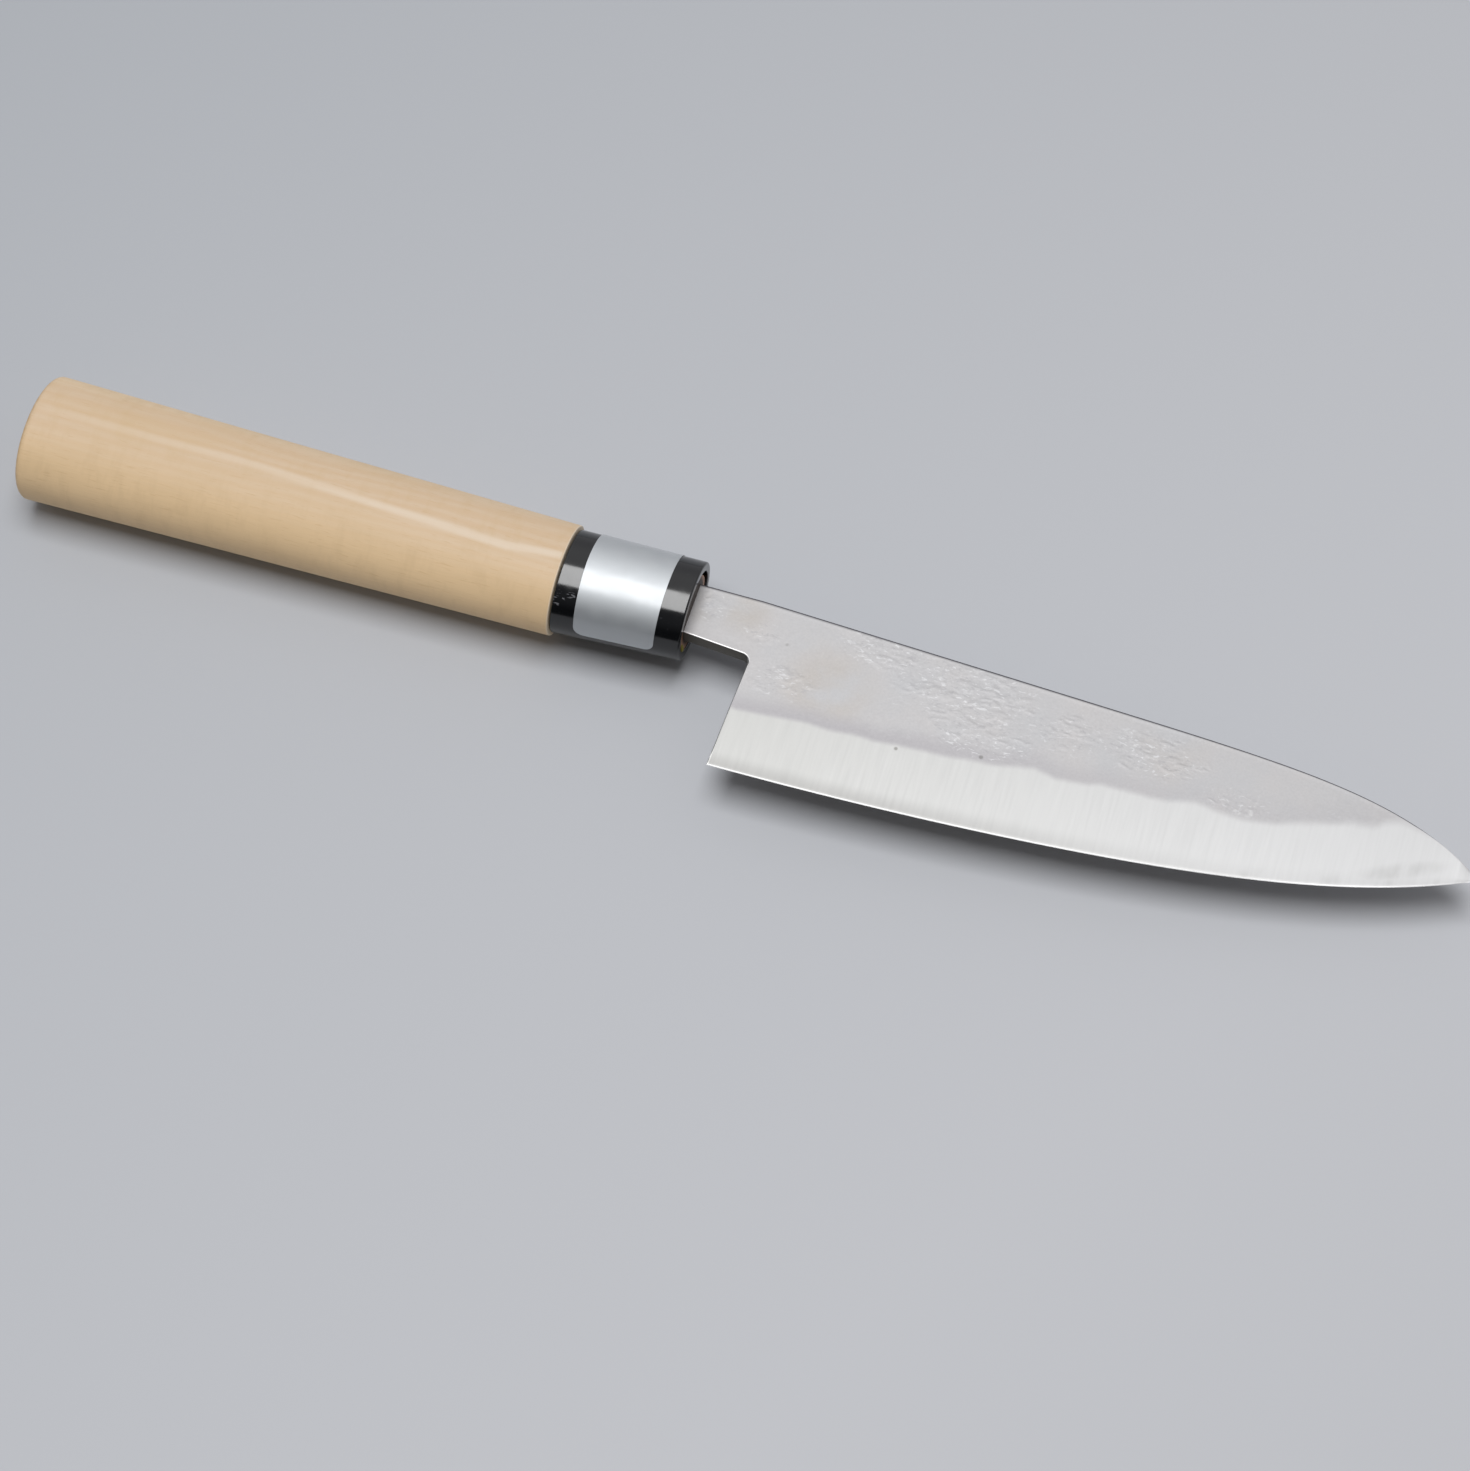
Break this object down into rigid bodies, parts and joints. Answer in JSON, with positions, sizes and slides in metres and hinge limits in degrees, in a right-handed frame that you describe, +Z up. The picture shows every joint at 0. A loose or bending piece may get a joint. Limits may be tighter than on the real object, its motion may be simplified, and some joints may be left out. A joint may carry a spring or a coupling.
{
  "type": "petty knife",
  "caption": "Slim double-bevelled kitchen knife with a forged steel blade, an oval pale wooden grip, a glossy black ferrule and a plain silver foil label.",
  "frame": {"origin": "on the bench that the knife lies on, below the middle of its outline seen from above", "axes": "+X along the knife from the butt to the tip, +Y from the cutting edge to the spine, +Z up through the thickness of the blade, out of its right side"},
  "size_m": [0.2702, 0.0412, 0.0204],
  "materials": {
    "forged_steel": "satin flat cheeks with shallow forging dents, finely ground bevels, thin bright cutting edge",
    "magnolia_wood": "pale straight-grained wood, sanded smooth and left unvarnished",
    "black_plastic": "black, moulded and polished to a gloss",
    "silver_foil": "plain silver foil, softly glossy, with no lettering",
    "bedding_resin": "hardened yellow-green resin, dull"
  },
  "bodies": {
    "root": {"blade": "forged_steel", "handle": "magnolia_wood", "ferrule": "black_plastic", "label": "silver_foil", "tang_bedding": "bedding_resin"}
  },
  "joints": []
}
